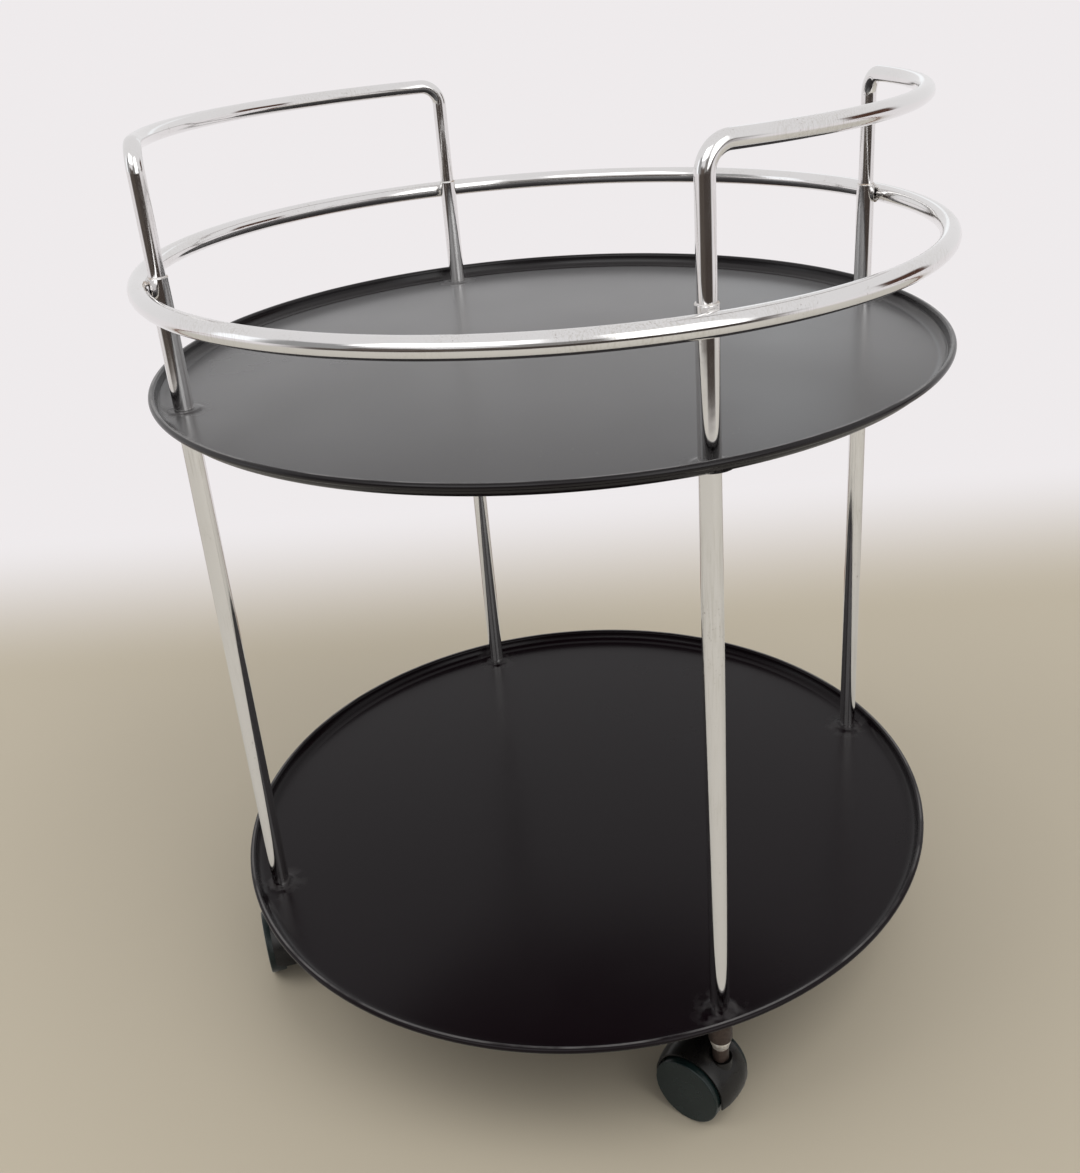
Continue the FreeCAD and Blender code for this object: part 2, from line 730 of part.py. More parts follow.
def make_hood(name):
    """Hood: shell over both wheels with sloping flanks and a slight crown, cut
    off behind and in front below the axle, with a web for the axle and a boss
    whose cupped top takes the stem. Local origin on the axle."""
    body = new_body(name)
    half_chord = hood_half_width - hood_flank_width
    crown = hood_crown_rise
    crown_bend_radius = (half_chord * half_chord + crown * crown) / (crown * 2)
    section = sketch_on(body, "YZ_Plane", name + "_section")
    outline(section, [
        (-hood_half_width, hood_inner_radius),
        (hood_half_width, hood_inner_radius),
        (hood_half_width, hood_lip_radius),
        (half_chord, hood_flank_radius),
        (-half_chord, hood_flank_radius, crown_bend_radius, "left", False),
        (-hood_half_width, hood_lip_radius),
    ])
    turned(body, "Revolution", section, "H_Axis", name + "_shell")

    reach = hood_crown_radius * 1.25
    opening = sketch_on(body, "XZ_Plane", name + "_opening_outline")
    outline(opening, [
        (0, 0),
        (-reach * cosine(hood_nose_angle), -reach * sine(hood_nose_angle)),
        (-reach * cosine(hood_nose_angle), -reach * 1.1),
        (reach * cosine(hood_tail_angle), -reach * 1.1),
        (reach * cosine(hood_tail_angle), -reach * sine(hood_tail_angle)),
    ])
    straight(body, "Pocket", opening, hood_half_width * 3, name + "_opening", "Symmetric")

    rim = hood_inner_radius + hood_wall / 2
    foot = axle_radius + web_axle_wall
    plate = sketch_on(body, "XZ_Plane", name + "_web_outline")
    outline(plate, [
        (foot * 0.6, -foot),
        (rim * cosine(hood_tail_angle), -rim * sine(hood_tail_angle)),
        (-rim * cosine(hood_nose_angle), -rim * sine(hood_nose_angle), rim, "left", True),
        (-foot * 0.6, -foot),
    ])
    straight(body, "Pad", plate, web_thickness, name + "_web", "Symmetric")

    stem_circle = sketch_on(body, "XY_Plane", name + "_boss_circle", hub_radius + hub_gap)
    circle(stem_circle, -stem_trail, 0, boss_radius)
    boss_height = seat_above_axle + seat_cup_depth - hub_radius - hub_gap
    straight(body, "Pad", stem_circle, boss_height, name + "_boss")

    bore_foot = hub_radius + hub_gap + boss_floor
    recess_radius = shank_radius + seat_ring
    bore = sketch_on(body, "XZ_Plane", name + "_stem_bore_section")
    outline(bore, [
        (-stem_trail, bore_foot),
        (journal_bore - stem_trail, bore_foot),
        (journal_bore - stem_trail, seat_above_axle),
        (recess_radius - stem_trail, seat_above_axle),
        (recess_radius + seat_flare - stem_trail, hood_crown_radius + 1),
        (-stem_trail, hood_crown_radius + 1),
    ])
    turning_axis(bore, -stem_trail, 0, hood_crown_radius)
    turned(body, "Groove", bore, "Axis0", name + "_stem_bore")

    centre = sketch_on(body, "XZ_Plane", name + "_axle_circle")
    circle(centre, 0, 0, axle_radius)
    straight(body, "Pocket", centre, web_thickness * 2, name + "_axle_bore", "Symmetric")
    return keep(body)


def make_axle(name):
    """Axle pin through the web, with a wheel on each end."""
    body = new_body(name)
    centre = sketch_on(body, "XZ_Plane", name + "_circle")
    circle(centre, 0, 0, axle_radius)
    straight(body, "Pad", centre, axle_half_length * 2, name + "_pin", "Symmetric")
    return keep(body)


def make_wheel(name):
    """Moulded wheel: domed blind face outside, rim and hub open to the web."""
    body = new_body(name)
    face_edge = wheel_outer_face - wheel_dome_rise
    flat_radius = wheel_radius - wheel_edge_radius
    dome = wheel_dome_rise
    dome_radius = (flat_radius * flat_radius + dome * dome) / (dome * 2)
    disc_inner_face = face_edge - wheel_disc_wall
    rim_inner_radius = wheel_radius - wheel_rim_wall
    bore_end = axle_half_length + axle_end_gap
    section = sketch_on(body, "YZ_Plane", name + "_section")
    outline(section, [
        (bore_end, 0),
        (wheel_outer_face, 0),
        (face_edge, flat_radius, dome_radius, "left", False),
        (face_edge - wheel_edge_radius, wheel_radius, wheel_edge_radius, "left", False),
        (tread_inner_face + wheel_inner_edge, wheel_radius),
        (tread_inner_face, wheel_radius - wheel_inner_edge),
        (tread_inner_face, rim_inner_radius),
        (disc_inner_face, rim_inner_radius),
        (disc_inner_face, hub_radius),
        (hub_inner_face, hub_radius),
        (hub_inner_face, axle_radius + axle_fit),
        (bore_end, axle_radius + axle_fit),
    ])
    turned(body, "Revolution", section, "H_Axis", name + "_turned")
    return keep(body)


for corner, sx, sy, swivel in CORNERS:
    stem_x = post_offset * sx
    stem_y = post_offset * sy
    axle_x = stem_x + stem_trail * cosine(swivel)
    axle_y = stem_y + stem_trail * sine(swivel)
    trailing = about_z(swivel.value)
    place(make_socket("castor_socket_" + corner), stem_x, stem_y, socket_foot_z)
    place(make_bush("socket_bush_" + corner), stem_x, stem_y, socket_foot_z)
    place(make_stem("castor_stem_" + corner), stem_x, stem_y, flange_foot_z)
    place(make_hood("castor_hood_" + corner), axle_x, axle_y, wheel_radius, trailing)
    place(make_axle("castor_axle_" + corner), axle_x, axle_y, wheel_radius, trailing)
    place(make_wheel("castor_left_wheel_" + corner), axle_x, axle_y, wheel_radius, trailing)
    place(make_wheel("castor_right_wheel_" + corner), axle_x, axle_y, wheel_radius,
          about_z(swivel.value + 180))

# ---------------------------------------------------------------- build and check
doc.recompute()

faults = []
for item in doc.Objects:
    states = [state for state in item.State if state in ("Invalid", "Error")]
    if states:
        faults.append("%s is %s" % (item.Label, states))
    if item.TypeId == "Sketcher::SketchObject" and not item.FullyConstrained:
        faults.append("%s is not fully held" % item.Label)
    if item.TypeId in ("PartDesign::Pocket", "PartDesign::Groove"):
        before = item.BaseFeature.Shape.Volume
        if item.Shape.Volume > before - 1:
            faults.append("%s removes nothing" % item.Label)
for item in nodes:
    if item.Shape.isNull() or not item.Shape.isValid() or not item.Shape.Solids:
        faults.append("%s has no sound solid" % item.Label)
if faults:
    raise RuntimeError("; ".join(faults))

os.makedirs("parts", exist_ok=True)
for item in nodes:
    item.Shape.exportStep("parts/%s.step" % item.Label)
print("%d nodes written" % len(nodes))
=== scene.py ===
import math

import bpy
from mathutils import Matrix, Vector


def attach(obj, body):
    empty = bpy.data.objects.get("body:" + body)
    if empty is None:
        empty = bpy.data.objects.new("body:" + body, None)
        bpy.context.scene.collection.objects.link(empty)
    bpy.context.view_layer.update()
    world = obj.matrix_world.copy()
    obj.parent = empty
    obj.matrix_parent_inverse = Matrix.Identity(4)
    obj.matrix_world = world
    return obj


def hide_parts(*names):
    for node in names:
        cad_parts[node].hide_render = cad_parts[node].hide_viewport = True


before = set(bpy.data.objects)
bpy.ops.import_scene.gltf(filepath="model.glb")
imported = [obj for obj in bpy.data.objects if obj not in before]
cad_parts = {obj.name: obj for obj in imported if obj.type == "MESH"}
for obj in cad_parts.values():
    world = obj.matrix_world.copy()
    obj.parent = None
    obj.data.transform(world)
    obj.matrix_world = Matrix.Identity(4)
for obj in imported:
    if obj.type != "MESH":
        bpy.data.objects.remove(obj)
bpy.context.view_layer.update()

# The studio: a pale floor under an even white light, with a darker side behind
# the camera so that polished tube has something to mirror. The camera stands
# where the photograph was taken from.


class Socket:
    """A shader socket. Sums written on it add Math nodes to its material."""

    def __init__(self, link):
        self.link = link

    def add(self, kind, settings, sockets, output=0):
        """Add a node: settings first, then each socket's value or link.

        Gives the output asked for, or None where the node has no outputs.
        """
        tree = self.link.id_data
        node = tree.nodes.new(kind)
        for name, value in settings.items():
            setattr(node, name, value)
        for key, value in sockets.items():
            if isinstance(value, Socket):
                tree.links.new(value.link, node.inputs[key])
            else:
                node.inputs[key].default_value = value
        return Socket(node.outputs[output]) if node.outputs else None

    def maths(self, operation, first, second=0.0):
        return self.add("ShaderNodeMath", {"operation": operation}, {0: first, 1: second})

    def __add__(self, more):
        return self.maths("ADD", self, more)

    __radd__ = __add__

    def __sub__(self, less):
        return self.maths("SUBTRACT", self, less)

    def __rsub__(self, whole):
        return self.maths("SUBTRACT", whole, self)

    def __mul__(self, times):
        return self.maths("MULTIPLY", self, times)

    __rmul__ = __mul__

    def larger(self, rival):
        return self.maths("MAXIMUM", self, rival)

    def vector(self, operation, second=(0, 0, 0), output="Vector"):
        """Vector Math. Lengths, distances and dot products are output Value."""
        return self.add("ShaderNodeVectorMath", {"operation": operation},
                        {0: self, 1: second}, output)

    def blend(self, first, second):
        """Colour that goes from first to second as this socket goes from 0 to 1."""
        first = first if isinstance(first, Socket) else (*first, 1)
        second = second if isinstance(second, Socket) else (*second, 1)
        first_input, second_input, result = 6, 7, 2
        return self.add("ShaderNodeMix", {"data_type": "RGBA"},
                        {0: self, first_input: first, second_input: second}, result)

    def ramp(self, low, high):
        """0 below low, 1 above high, and smooth between."""
        return self.add("ShaderNodeMapRange", {"interpolation_type": "SMOOTHSTEP"},
                        {0: self, 1: low, 2: high})

    def noise(self, scale, detail, roughness=0.5):
        """Cloudy values at so many lumps a metre, read at this point."""
        return self.add("ShaderNodeTexNoise", {}, {
            "Vector": self, "Scale": scale, "Detail": detail, "Roughness": roughness})

    def bump(self, strength, distance):
        """Normal of a surface that this socket is the height of."""
        return self.add("ShaderNodeBump", {}, {
            "Strength": strength, "Distance": distance, "Height": self})


def start_finish(name):
    """New material, and the place on the piece that its pattern reads."""
    material = bpy.data.materials.new(name)
    material.use_nodes = True
    material.node_tree.nodes.clear()
    coordinates = material.node_tree.nodes.new("ShaderNodeTexCoord")
    return material, Socket(coordinates.outputs["Object"])


def end_finish(place, sockets):
    """Principled shader on the output of the material that place is in."""
    shader = place.add("ShaderNodeBsdfPrincipled", {}, sockets)
    shader.add("ShaderNodeOutputMaterial", {}, {"Surface": shader})


def level_aim(bearing):
    """Level direction so many degrees from +Y, turning towards +X."""
    turn = math.radians(bearing)
    return math.sin(turn), math.cos(turn), 0


def levelled(point):
    """The level direction that a point or a ray lies in, of length 1."""
    return point.vector("MULTIPLY", (1, 1, 0)).vector("NORMALIZE")


def towards(level, bearing, wide, soft):
    """1 where a level direction is within wide degrees of a bearing, 0 past soft more."""
    near = level.vector("DOT_PRODUCT", level_aim(bearing), "Value")
    return near.ramp(math.cos(math.radians(wide + soft)), math.cos(math.radians(wide)))


PALE_SWEEP = (0.86, 0.83, 0.84)
PALE_FLOOR = (0.515, 0.455, 0.350)
MIRRORED_FLOOR = (0.600, 0.572, 0.510)
MIRRORED_BROWN = (0.16, 0.055, 0.025)
MIRRORED_GLOOM = (0.085, 0.070, 0.060)
MIRRORED_SHADE = (0.060, 0.048, 0.042)
FLOOR_SIZE = 24
BACK_BEARING = 333
bpy.ops.object.select_all(action="DESELECT")
bpy.ops.mesh.primitive_plane_add(size=FLOOR_SIZE, location=(0, 0, 0))
floor = bpy.context.object
floor.name = "floor"
floor_pale, place = start_finish("floor_pale")
mirror_ray = place.add("ShaderNodeLightPath", {}, {}, "Is Glossy Ray")
level = levelled(place)
behind = place.vector("DOT_PRODUCT", level_aim(BACK_BEARING), "Value")
reach = place.vector("LENGTH", output="Value")
swept = behind.ramp(0.40, 0.80).larger(reach.ramp(1.3, 2.6))
brown = mirror_ray * behind.ramp(0.455, 0.475) * (1 - behind.ramp(0.53, 0.56))
shade = mirror_ray * (reach.ramp(1.40, 1.65) * towards(level, 134, 26, 14))
gloom = mirror_ray * (reach.ramp(1.55, 2.0) * towards(level, 158, 52, 18))
mirrored = brown.blend(PALE_SWEEP, MIRRORED_BROWN)
mirrored = gloom.blend(mirrored, MIRRORED_GLOOM)
mirrored = shade.blend(mirrored, MIRRORED_SHADE)
matt = place.add("ShaderNodeBsdfPrincipled", {}, {
    "Base Color": mirror_ray.blend(PALE_FLOOR, MIRRORED_FLOOR),
    "Roughness": 0.6, "Specular IOR Level": 0.3})
sweep = place.add("ShaderNodeEmission", {}, {"Color": mirrored, "Strength": 1.0})
past_floor = swept.larger(brown).larger(shade).larger(gloom)
laid = place.add("ShaderNodeMixShader", {}, {0: past_floor, 1: matt, 2: sweep})
laid.add("ShaderNodeOutputMaterial", {}, {"Surface": laid})
floor.data.materials.append(floor_pale)

# What polished tube mirrors above the floor. Each patch has a bearing, half
# width, soft side, lowest and highest angle, all in degrees, and a colour.
PATCHES = (
    (158, 56, 20, -20, 4, (0.110, 0.090, 0.078)),
    (150, 9, 9, -20, 17, (0.27, 0.26, 0.25)),
    (217, 9, 9, -20, 28, (0.33, 0.33, 0.33)),
    (195, 6, 6, -20, 8, (0.14, 0.12, 0.11)),
    (120, 13, 8, 0, 44, (2.1, 2.1, 2.1)),
    (183, 20, 10, 26, 50, (2.2, 2.2, 2.2)),
    (241, 5, 4, -20, 20, (1.25, 1.28, 1.32)),
    (48, 8, 5, -20, 13, (0.085, 0.042, 0.030)),
    (344, 1, 3, 4, 24, (1.03, 1.05, 1.07)),
)
SOFT_FOOT = 4
SOFT_HEAD = 7
WHITE_ROOM = (0.84, 0.83, 0.835)
ROOM_LIGHT = (0.70, 0.70, 0.71)
world = bpy.data.worlds.new("room")
bpy.context.scene.world = world
world.use_nodes = True
world.node_tree.nodes.clear()
way = Socket(world.node_tree.nodes.new("ShaderNodeTexCoord").outputs["Generated"])
rise = way.add("ShaderNodeSeparateXYZ", {}, {0: way}, "Z")
level = levelled(way)


def above(foot, head):
    """0 where the way rises less than foot degrees, 1 where it rises past head."""
    return rise.ramp(math.sin(math.radians(foot)), math.sin(math.radians(head)))


room = WHITE_ROOM
for bearing, wide, soft, low, high, colour in PATCHES:
    patch = above(low - SOFT_FOOT, low) * (1 - above(high, high + SOFT_HEAD))
    room = (patch * towards(level, bearing, wide, soft)).blend(room, colour)
lit = way.add("ShaderNodeLightPath", {}, {}, "Is Glossy Ray").blend(ROOM_LIGHT, room)
seen = way.add("ShaderNodeLightPath", {}, {}, "Is Camera Ray").blend(lit, PALE_SWEEP)
background = way.add("ShaderNodeBackground", {}, {"Color": seen, "Strength": 1.0})
background.add("ShaderNodeOutputWorld", {}, {"Surface": background})

# Two large soft lamps above the table's left and right. Polished tube mirrors
# the patches and not the lamps.
LAMP_SIZE = 1.8
LAMP_AIM = (0, 0, 0.3)
for lamp_name, spot, power in (("lamp_left", (-1.5, -1.1, 2.4), 18),
                               ("lamp_right", (1.6, -0.4, 2.5), 26)):
    bpy.ops.object.light_add(type="AREA", location=spot)
    lamp = bpy.context.object
    lamp.name = lamp_name
    lamp.data.shape = "SQUARE"
    lamp.data.size = LAMP_SIZE
    lamp.data.energy = power
    lamp.visible_glossy = False
    back = Vector(spot) - Vector(LAMP_AIM)
    lamp.rotation_mode = "QUATERNION"
    lamp.rotation_quaternion = back.to_track_quat("Z", "Y")

# The camera, looking down on the table from its front right. Its shift puts
# the table where the photograph's frame has it.
bpy.ops.object.camera_add()
camera = bpy.context.object
camera.name = "camera"
camera_right = (0.9075811, 0.4152022, -0.0624790)
camera_up = (-0.1215472, 0.4022362, 0.9074317)
camera_back = (0.4018990, -0.8159738, 0.4155286)
camera_spot = (0.352408, -0.698295, 0.664890)
camera.matrix_world = Matrix([*zip(camera_right, camera_up, camera_back, camera_spot),
                              (0, 0, 0, 1)])
camera.data.sensor_width = 36
camera.data.lens = 37.559
camera.data.shift_x = -0.03111
camera.data.shift_y = -0.04289
camera.data.clip_start = 0.01
bpy.context.scene.camera = camera
bpy.context.scene.view_settings.view_transform = "Standard"

# Castor sockets: round steel collars screwed up under the tray, their plating
# gone brown. The lower edge is rounded and a bush is pushed in from below.
CORNER = 0.1658165
CORNERS = {  # each corner's x and y, and how its castor is turned at rest
    "front_right": (CORNER, -CORNER, 167.6),
    "front_left": (-CORNER, -CORNER, 134.0),
    "rear_left": (-CORNER, CORNER, 150.0),
    "rear_right": (CORNER, CORNER, 160.0),
}
SOCKET_FOOT = 0.0610
SOCKET_LENGTH = 0.0220
SOCKET_RADIUS = 0.0075
SOCKET_ROUND = 0.0012
SOCKET_MOUTH = 0.0060
MOUTH_DEPTH = 0.0006
SOCKET_EASE = 0.0001
BROWN_STEEL = (0.078, 0.058, 0.049)
RUST = (0.040, 0.024, 0.018)


def only(piece):
    """Select one piece and nothing else."""
    bpy.ops.object.select_all(action="DESELECT")
    piece.select_set(True)
    bpy.context.view_layer.objects.active = piece


def smooth(piece, sharp=30):
    """Shade a piece smooth, apart from edges sharper than so many degrees."""
    only(piece)
    bpy.ops.object.shade_smooth_by_angle(angle=math.radians(sharp))


def arc(centre, middle, radius, start, end, steps):
    """Points on an arc of a profile, angles in degrees."""
    points = []
    for step in range(steps + 1):
        angle = math.radians(start + (end - start) * step / steps)
        points.append((centre + radius * math.cos(angle), middle + radius * math.sin(angle)))
    return points


def lathe(name, profile, around=64):
    """Draw a ring of edges through a profile of (radius, height) pairs, and fill its ends."""
    bpy.ops.object.select_all(action="DESELECT")
    radius, height = profile[0]
    bpy.ops.mesh.primitive_circle_add(vertices=around, radius=radius, location=(0, 0, height))
    piece = bpy.context.object
    piece.name = name
    bpy.ops.object.transform_apply(location=True)
    bpy.ops.object.mode_set(mode="EDIT")
    bpy.ops.mesh.select_all(action="SELECT")
    for next_radius, next_height in profile[1:]:
        bpy.ops.mesh.extrude_edges_move(
            TRANSFORM_OT_translate={"value": (0, 0, next_height - height)})
        bpy.ops.transform.resize(value=(next_radius / radius, next_radius / radius, 1),
                                 center_override=(0, 0, next_height))
        radius, height = next_radius, next_height
    bpy.ops.mesh.select_all(action="SELECT")
    bpy.ops.mesh.fill_holes(sides=0)
    bpy.ops.mesh.normals_make_consistent(inside=False)
    bpy.ops.object.mode_set(mode="OBJECT")
    return piece


def settle(piece, name, x, y, z, turn, body, node):
    """Copy a finished piece to a corner, its place in its mesh, and let it ride."""
    only(piece)
    bpy.ops.object.duplicate()
    copy = bpy.context.object
    copy.name = name
    copy.location = (x, y, z)
    copy.rotation_euler = (0, 0, math.radians(turn))
    bpy.ops.object.transform_apply(location=True, rotation=True, scale=True)
    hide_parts(node)
    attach(copy, body)


tarnished, place = start_finish("tarnished_steel")
mottle = place.noise(420, 6, 0.62)
rust = mottle.ramp(0.40, 0.64)
end_finish(place, {
    "Base Color": rust.blend(BROWN_STEEL, RUST),
    "Roughness": rust * 0.25 + 0.38, "Metallic": 0.9 - rust * 0.55,
    "Normal": (place.noise(2600, 3) * 0.5 + mottle * 0.5).bump(0.35, 0.0002),
})
socket_profile = [(SOCKET_MOUTH, MOUTH_DEPTH), (SOCKET_RADIUS - SOCKET_ROUND, 0.0)]
socket_profile += arc(SOCKET_RADIUS - SOCKET_ROUND, SOCKET_ROUND, SOCKET_ROUND, -90, 0, 6)[1:]
socket_profile += [(SOCKET_RADIUS, SOCKET_LENGTH - SOCKET_EASE),
                   (SOCKET_RADIUS - SOCKET_EASE, SOCKET_LENGTH)]
socket = lathe("castor_socket_blank", socket_profile)
smooth(socket)
socket.data.materials.append(tarnished)
for corner, (x, y, turn) in CORNERS.items():
    settle(socket, "castor_socket_" + corner + "_look", x, y, SOCKET_FOOT, turn, "frame",
           "castor_socket_" + corner)
bpy.data.objects.remove(socket)

# Socket bushes: turned steel with a tapered flange that shows bright below
# the collar. Pressed into the socket; the stem turns in them.
BUSH_BORE = 0.0042
BUSH_FOOT = -0.0067
BUSH_FLANGE = 0.0068
BUSH_NECK = 0.0056
BUSH_TOP = 0.0088
LATHE_MARKS = 9000
TURNED_STEEL = (0.82, 0.80, 0.76)
HANDLED_STEEL = (0.64, 0.58, 0.50)
bright, place = start_finish("bright_steel")
height = place.add("ShaderNodeSeparateXYZ", {}, {0: place}, "Z")
marks = height.maths("SINE", height * LATHE_MARKS)
wear = place.noise(600, 4)
end_finish(place, {
    "Base Color": wear.ramp(0.35, 0.7).blend(TURNED_STEEL, HANDLED_STEEL),
    "Metallic": 0.85, "Roughness": wear * 0.2 + 0.36, "Normal": marks.bump(0.12, 0.0001),
})
bush = lathe("socket_bush_blank", [
    (BUSH_BORE, BUSH_FOOT), (0.0051, BUSH_FOOT), (0.0053, -0.0065), (0.0067, -0.0014),
    (BUSH_FLANGE, -0.0010), (BUSH_FLANGE, -0.0001), (BUSH_NECK, 0.0), (BUSH_NECK, BUSH_TOP)])
smooth(bush)
bush.data.materials.append(bright)
for corner, (x, y, turn) in CORNERS.items():
    settle(bush, "socket_bush_" + corner + "_look", x, y, SOCKET_FOOT, turn, "frame",
           "socket_bush_" + corner)
bpy.data.objects.remove(bush)

# Castor stems: a bare shank between bush and hood, with a thinner journal at
# each end. Same brown steel as the sockets.
STEM_FOOT = 0.04426
SHANK_RADIUS = 0.0052
SHANK_LENGTH = 0.0100
SHANK_EASE = 0.0003
JOURNAL = 0.0040
JOURNAL_TIP = 0.0036
LOWER_JOURNAL_END = -0.0148
UPPER_JOURNAL_END = 0.0252
stem = lathe("castor_stem_blank", [
    (JOURNAL_TIP, LOWER_JOURNAL_END), (JOURNAL, -0.0143), (JOURNAL, 0.0),
    (SHANK_RADIUS - SHANK_EASE, 0.0), (SHANK_RADIUS, SHANK_EASE),
    (SHANK_RADIUS, SHANK_LENGTH - SHANK_EASE), (SHANK_RADIUS - SHANK_EASE, SHANK_LENGTH),
    (JOURNAL, SHANK_LENGTH), (JOURNAL, 0.0248), (JOURNAL_TIP, UPPER_JOURNAL_END)])
smooth(stem)
stem.data.materials.append(tarnished)
for corner, (x, y, turn) in CORNERS.items():
    settle(stem, "castor_stem_" + corner + "_look", x, y, STEM_FOOT, turn, "frame",
           "castor_stem_" + corner)
bpy.data.objects.remove(stem)

# Castor hoods: black moulded plastic over the top half of both wheels, with
# sloping flanks and a slight crown. A web between the wheels carries the axle,
# and the stem stands in a cupped boss that comes out through the hood.
AXLE_HEIGHT = 0.0225
TRAIL = 0.0144
HOOD_HALF = 0.0152
HOOD_RIDGE = 0.0090
HOOD_INNER = 0.0235
HOOD_LIP = 0.0247
HOOD_FLANK = 0.0263
HOOD_CROWN = 0.0269
HOOD_TAIL, HOOD_NOSE = -12.0, 190.0
WEB_RIM = 0.0241
WEB_FOOT = 0.0067
WEB_HEEL = 0.0040
WEB_THICKNESS = 0.006
BOSS_RADIUS = 0.00725
BOSS_LENGTH = 0.01756
BOSS_MIDDLE = 0.01383
STEM_BORE = 0.00405
STEM_BORE_FOOT = 0.00655
STEM_SEAT = 0.02146
CUP_FOOT_RADIUS = 0.0064
CUP_TOP_RADIUS = 0.0078
CUP_TOP = 0.0279
HOOD_ROUND = 0.0005
MERGE = 1e-6


def moulded(name, base, light, roughness):
    """Moulded plastic: faint texture, rubbed a little brighter in places."""
    material, place = start_finish(name)
    wear_and_highlight = place.noise(90, 4).ramp(0.35, 0.75)
    end_finish(place, {
        "Base Color": wear_and_highlight.blend(base, light), "Roughness": wear_and_highlight * 0.06 + roughness,
        "Normal": place.noise(5200, 2).bump(0.05, 0.0001), "Specular IOR Level": 0.29,
    })
    return material


def combine(piece, tool, operation):
    """Join a tool to a piece or cut it away, and drop the tool."""
    only(piece)
    boolean = piece.modifiers.new("combine", "BOOLEAN")
    boolean.operation = operation
    boolean.solver = "EXACT"
    boolean.object = tool
    bpy.ops.object.modifier_apply(modifier="combine")
    bpy.data.objects.remove(tool)


def soften(piece, width, segments, angle, sharp):
    """Round the edges sharper than angle, then shade smooth up to sharp."""
    only(piece)
    bevel = piece.modifiers.new("soften", "BEVEL")
    bevel.width = width
    bevel.segments = segments
    bevel.limit_method = "ANGLE"
    bevel.angle_limit = math.radians(angle)
    bpy.ops.object.modifier_apply(modifier="soften")
    smooth(piece, sharp)


def square_off(angle, side):
    """Plane from the web's heel to its rim at an angle, facing out of the web."""
    turn = math.radians(angle)
    run_x = WEB_RIM * math.cos(turn) - WEB_HEEL * side
    run_z = WEB_RIM * math.sin(turn) + WEB_FOOT
    return (WEB_HEEL * side, 0, -WEB_FOOT), (run_z * side, 0, -run_x * side)


hood_black = moulded("hood_plastic", (0.0060, 0.0054, 0.0050), (0.0105, 0.0092, 0.0082), 0.26)
crown_rise = HOOD_CROWN - HOOD_FLANK
crown_bend = (HOOD_RIDGE ** 2 + crown_rise ** 2) / (2 * crown_rise)
crown_edge = math.degrees(math.asin(HOOD_RIDGE / crown_bend))
outside = [(HOOD_LIP, -HOOD_HALF)]
outside += arc(HOOD_CROWN - crown_bend, 0, crown_bend, -crown_edge, crown_edge, 12)
outside += [(HOOD_LIP, HOOD_HALF)]

# The shell starts as one line from its inside to its lip, is extruded across
# the wheels along the profile, and is then spun about the axle.
bpy.ops.object.select_all(action="DESELECT")
radius, across = outside[0]
bpy.ops.mesh.primitive_plane_add(size=radius - HOOD_INNER,
                                 location=((radius + HOOD_INNER) / 2, across, 0))
hood = bpy.context.object
hood.name = "castor_hood_blank"
bpy.ops.object.transform_apply(location=True)
bpy.ops.object.mode_set(mode="EDIT")
bpy.ops.mesh.select_mode(type="VERT")
bpy.ops.mesh.select_all(action="SELECT")
bpy.ops.transform.resize(value=(1, 0, 1), center_override=(0, across, 0))
bpy.ops.mesh.remove_doubles(threshold=MERGE)
for next_radius, next_across in outside[1:]:
    bpy.ops.mesh.extrude_edges_move(
        TRANSFORM_OT_translate={"value": (0, next_across - across, 0)})
    widen = (next_radius - HOOD_INNER) / (radius - HOOD_INNER)
    bpy.ops.transform.resize(value=(widen, 1, 1), center_override=(HOOD_INNER, next_across, 0))
    radius, across = next_radius, next_across
bpy.ops.mesh.select_all(action="SELECT")
bpy.ops.transform.rotate(value=math.radians(HOOD_TAIL), orient_axis="Y",
                         center_override=(0, 0, 0))
bpy.ops.mesh.spin(steps=96, angle=math.radians(HOOD_NOSE - HOOD_TAIL), center=(0, 0, 0),
                  axis=(0, 1, 0))
bpy.ops.mesh.select_all(action="SELECT")
bpy.ops.mesh.normals_make_consistent(inside=False)
bpy.ops.object.mode_set(mode="OBJECT")

# The web is a disc squared off below the axle and towards the hood's ends.
bpy.ops.object.select_all(action="DESELECT")
bpy.ops.mesh.primitive_cylinder_add(vertices=120, radius=WEB_RIM, depth=WEB_THICKNESS)
web = bpy.context.object
bpy.ops.object.mode_set(mode="EDIT")
bpy.ops.mesh.select_all(action="SELECT")
bpy.ops.transform.rotate(value=math.pi / 2, orient_axis="X", center_override=(0, 0, 0))
foot_plane = ((0, 0, -WEB_FOOT), (0, 0, -1))
for point, normal in (square_off(HOOD_TAIL, 1), square_off(HOOD_NOSE, -1), foot_plane):
    bpy.ops.mesh.select_all(action="SELECT")
    bpy.ops.mesh.bisect(plane_co=point, plane_no=normal, use_fill=True, clear_outer=True,
                        threshold=MERGE)
bpy.ops.mesh.select_all(action="SELECT")
bpy.ops.mesh.normals_make_consistent(inside=False)
bpy.ops.object.mode_set(mode="OBJECT")
combine(hood, web, "UNION")

